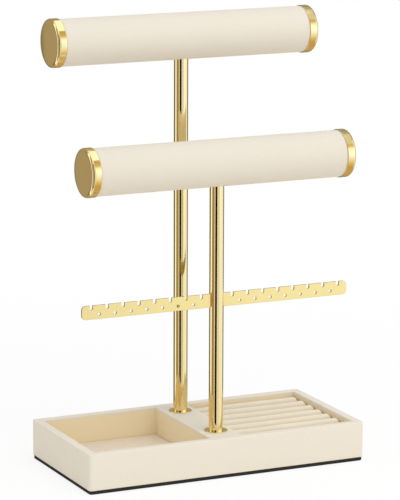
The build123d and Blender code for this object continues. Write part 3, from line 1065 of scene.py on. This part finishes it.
def studio_screen(name, span, settings):
    """Part of a sphere round the stand, between two azimuths and two elevations, that only reflections see.

    Several colours change evenly from one to the next with the elevation."""
    start, stop, low, high, colour = span
    rows, columns = SCREEN_GRID
    azimuth = settings.azimuth + np.radians(np.linspace(start, stop, columns))
    elevation = np.radians(np.linspace(low, high, rows))[:, None]
    colours = np.atleast_2d(colour)
    tones = np.ones((rows, 4))
    for channel, levels in enumerate(colours.T):
        tones[:, channel] = np.interp(np.linspace(0, 1, rows), np.linspace(0, 1, len(colours)), levels)
    points = SCREEN_DISTANCE * np.stack(np.broadcast_arrays(
        np.cos(elevation) * np.sin(azimuth), -np.cos(elevation) * np.cos(azimuth), np.sin(elevation)), 2)
    points[..., 2] += SCREEN_HEIGHT
    mesh = bpy.data.meshes.new(name)
    mesh.from_pydata(points.reshape(-1, 3).tolist(), [], quads(rows, columns, columns_close=False))
    mesh.color_attributes.new("glow", "FLOAT_COLOR", "POINT").data.foreach_set(
        "color", np.repeat(tones, columns, axis=0).ravel())
    material = bpy.data.materials.new(name)
    wire = bare_tree(material)
    tone = wire.add("Attribute", {"attribute_name": "glow"}, None, "Color")
    glow = wire.add("Emission", None, {"Color": tone, "Strength": 1.0})
    wire.add("OutputMaterial", None, {"Surface": glow})
    material.cycles.emission_sampling = "NONE"
    mesh.materials.append(material)
    screen = new_object(mesh)
    for ray in ("camera", "diffuse", "shadow", "transmission"):
        setattr(screen, "visible_" + ray, False)


def soft_lamp(name, place, size, power):
    """A large square lamp that faces the middle of the stand and isn't seen itself."""
    data = bpy.data.lights.new(name, "AREA")
    data.shape, data.size, data.energy = "SQUARE", size, power
    lamp = new_object(data)
    aim = Vector((0, 0, cad_high[2] / 2)) - Vector(place)
    lamp.matrix_world = Matrix.Translation(place) @ aim.to_track_quat("-Z", "Y").to_matrix().to_4x4()
    lamp.visible_camera = lamp.visible_glossy = False


# Operators: one for each piece or group of like pieces, and one for the stage

class StandOperator:
    """What the stand's operators share."""
    bl_options = {"REGISTER"}

    def settings(self, context, group):
        """One of the scene's groups of settings."""
        return getattr(context.scene, SETTINGS + group)

    def gold(self, context):
        """The plating that caps, posts and screw share: made the first time that it is asked for."""
        metal = self.settings(context, "metal")
        return bpy.data.materials.get("mirror_gold") or plated_gold(
            "mirror_gold", metal.gold, metal.roughness, haze=0.03)


class JEWELRYSTAND_OT_tray(StandOperator, bpy.types.Operator):
    """Leather over the tray's walls and platform"""
    bl_idname = "jewelry_stand.tray"
    bl_label = "Tray leather"

    def execute(self, context):
        settings = self.settings(context, "leather")
        leather = cream_leather("tray_leather", settings)
        skin = new_piece("tray_leather", tray_skin(settings), sharp_degrees=50)
        join_stand(skin, STAND, ["tray_wrap"], leather)
        dress(["platform_cover"], leather)
        return {"FINISHED"}


class JEWELRYSTAND_OT_linings(StandOperator, bpy.types.Operator):
    """Suede floor of the open compartment and the pad under the tray"""
    bl_idname = "jewelry_stand.linings"
    bl_label = "Lining and pad"

    def execute(self, context):
        soft = self.settings(context, "soft")
        low, high = corners("compartment_lining")
        surface = soft_plate(low, high, soft.lining_corner, soft.lining_edge)
        lining = new_piece("suede_lining", surface, sharp_degrees=60)
        suede = velvet_pile("brushed_suede", soft.suede, pile=0.35 * MM, sheen=0.25)
        join_stand(lining, STAND, ["compartment_lining"], suede)

        low, high = corners("base_pad")
        surface = soft_plate(low, high, soft.pad_corner, soft.pad_edge)
        pad = new_piece("foam_pad", surface, sharp_degrees=60)
        join_stand(pad, STAND, ["base_pad"], foam_rubber(soft.pad))
        return {"FINISHED"}


class JEWELRYSTAND_OT_rolls(StandOperator, bpy.types.Operator):
    """Foam rolls in velvet, filled as cloth"""
    bl_idname = "jewelry_stand.rolls"
    bl_label = "Ring rolls"

    def execute(self, context):
        soft = self.settings(context, "soft")
        crest = corners(ROLLS[0])[1][2]
        velvet = velvet_pile("velvet_pile", soft.velvet, pile=0.4 * MM, sheen=0.35, crest=crest)
        random = np.random.default_rng(soft.seed)
        rolls, feet = [], []
        for node in ROLLS:
            rings, foot = roll_start(*corners(node), soft, random)
            rolls.append(new_object(new_mesh(node.replace("ring_roll", "velvet_roll"), *closed_tube(rings))))
            feet.append(foot)
        fill_rolls(rolls, feet, soft)
        for roll, node in zip(rolls, ROLLS):
            smooth(roll.data, sharp_degrees=80)
            finer = roll.modifiers.new("finer", "SUBSURF")
            finer.levels = finer.render_levels = 1
            join_stand(roll, STAND, [node], velvet)
        return {"FINISHED"}


class JEWELRYSTAND_OT_bars(StandOperator, bpy.types.Operator):
    """Lapped leather sleeves of the two bars, and their gold end caps"""
    bl_idname = "jewelry_stand.bars"
    bl_label = "Bars"

    def execute(self, context):
        leather, metal = self.settings(context, "leather"), self.settings(context, "metal")
        skin = cream_leather("sleeve_leather", leather, leather.sleeve_share)
        for bar, body in BARS.items():
            wrap = f"{bar}_bar_wrap"
            low, high = corners(wrap)
            post_low, post_high = corners(f"{POSTS[bar]}_post")
            middle = (post_low + post_high) / 2
            radius = (post_high[0] - post_low[0]) / 2 + leather.post_gap
            mesh = new_mesh(f"{bar}_bar_sleeve", *bar_sleeve(bar, leather))
            mesh = cut_hole(mesh, middle, radius, low[2] - OVERRUN, (low[2] + high[2]) / 2)
            smooth(mesh, sharp_degrees=40)
            join_stand(new_object(mesh), body, [wrap], skin)
            for side in ("left", "right"):
                node = f"{bar}_bar_cap_{side}"
                cap = new_piece(f"{bar}_cap_{side}", turned_cap(node, metal), sharp_degrees=50)
                join_stand(cap, body, [node], self.gold(context))
        return {"FINISHED"}


class JEWELRYSTAND_OT_posts(StandOperator, bpy.types.Operator):
    """Polished gold posts on their flanges"""
    bl_idname = "jewelry_stand.posts"
    bl_label = "Posts"

    def execute(self, context):
        nodes = [f"{place}_{piece}" for place in POSTS.values() for piece in ("post", "flange")]
        dress(nodes, self.gold(context))
        return {"FINISHED"}


class JEWELRYSTAND_OT_strip(StandOperator, bpy.types.Operator):
    """Notched earring strip with broken edges, and its screw"""
    bl_idname = "jewelry_stand.strip"
    bl_label = "Earring strip"

    def execute(self, context):
        metal = self.settings(context, "metal")
        satin = plated_gold("satin_gold", metal.strip_colour, metal.strip_roughness, haze=0.04)
        join_stand(new_object(strip_mesh(metal)), STAND, ["earring_strip"], satin)
        dress(["strip_screw"], self.gold(context))
        return {"FINISHED"}


class JEWELRYSTAND_OT_inside(StandOperator, bpy.types.Operator):
    """Boards, tubes, plugs, studs and screws inside the stand"""
    bl_idname = "jewelry_stand.inside"
    bl_label = "Inner pieces"

    def execute(self, context):
        finishes = {
            "fibreboard": pressed_board(),
            "paper_tube": wound_paper(),
            "zinc_steel": worked_metal(
                "plated_steel", light=linear(206, 208, 212), dark=linear(176, 179, 186), roughness=0.3),
            "insert_brass": worked_metal(
                "turned_brass", light=linear(224, 196, 128), dark=linear(206, 172, 98), roughness=0.22),
        }
        for part in frame["record"]["subparts"]:
            if part["material_slot"] in finishes:
                dress([part["node"]], finishes[part["material_slot"]])
        return {"FINISHED"}


class JEWELRYSTAND_OT_stage(StandOperator, bpy.types.Operator):
    """White floor, soft light, screens for the metal to show, and the camera"""
    bl_idname = "jewelry_stand.stage"
    bl_label = "Stage"

    def execute(self, context):
        stage = self.settings(context, "stage")
        context.scene.view_settings.view_transform = "Standard"
        white_surroundings(stage)
        studio_floor(stage)
        soft_lamp("key_lamp", stage.key_place, stage.key_size, stage.key)
        for name, span in SCREENS.items():
            studio_screen(name, span, stage)
        place_camera(stage)
        return {"FINISHED"}


OPERATORS = (
    JEWELRYSTAND_OT_tray, JEWELRYSTAND_OT_linings, JEWELRYSTAND_OT_rolls, JEWELRYSTAND_OT_bars,
    JEWELRYSTAND_OT_posts, JEWELRYSTAND_OT_strip, JEWELRYSTAND_OT_inside, JEWELRYSTAND_OT_stage,
)
GROUPS = {
    "leather": JEWELRYSTAND_PG_leather, "soft": JEWELRYSTAND_PG_soft,
    "metal": JEWELRYSTAND_PG_metal, "stage": JEWELRYSTAND_PG_stage,
}


class JEWELRYSTAND_PT_pieces(bpy.types.Panel):
    """Lists the stand's operators and what they can be set to"""
    bl_label = "Jewelry stand"
    bl_idname = "JEWELRYSTAND_PT_pieces"
    bl_space_type = "VIEW_3D"
    bl_region_type = "UI"
    bl_category = "Stand"

    def draw(self, context):
        for operator in OPERATORS:
            self.layout.operator(operator.bl_idname)
        for name, group in GROUPS.items():
            box = self.layout.box()
            for setting in group.__annotations__:
                box.prop(getattr(context.scene, SETTINGS + name), setting)


def register():
    for cls in (*GROUPS.values(), *OPERATORS, JEWELRYSTAND_PT_pieces):
        bpy.utils.register_class(cls)
    for name, group in GROUPS.items():
        setattr(bpy.types.Scene, SETTINGS + name, PointerProperty(type=group))


def unregister():
    for name in GROUPS:
        delattr(bpy.types.Scene, SETTINGS + name)
    for cls in (JEWELRYSTAND_PT_pieces, *OPERATORS[::-1], *GROUPS.values()):
        bpy.utils.unregister_class(cls)


def main():
    """Registers the classes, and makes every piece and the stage."""
    register()
    for operator in OPERATORS:
        getattr(bpy.ops.jewelry_stand, operator.bl_idname.split(".")[1])()


if __name__ == "__main__":
    main()
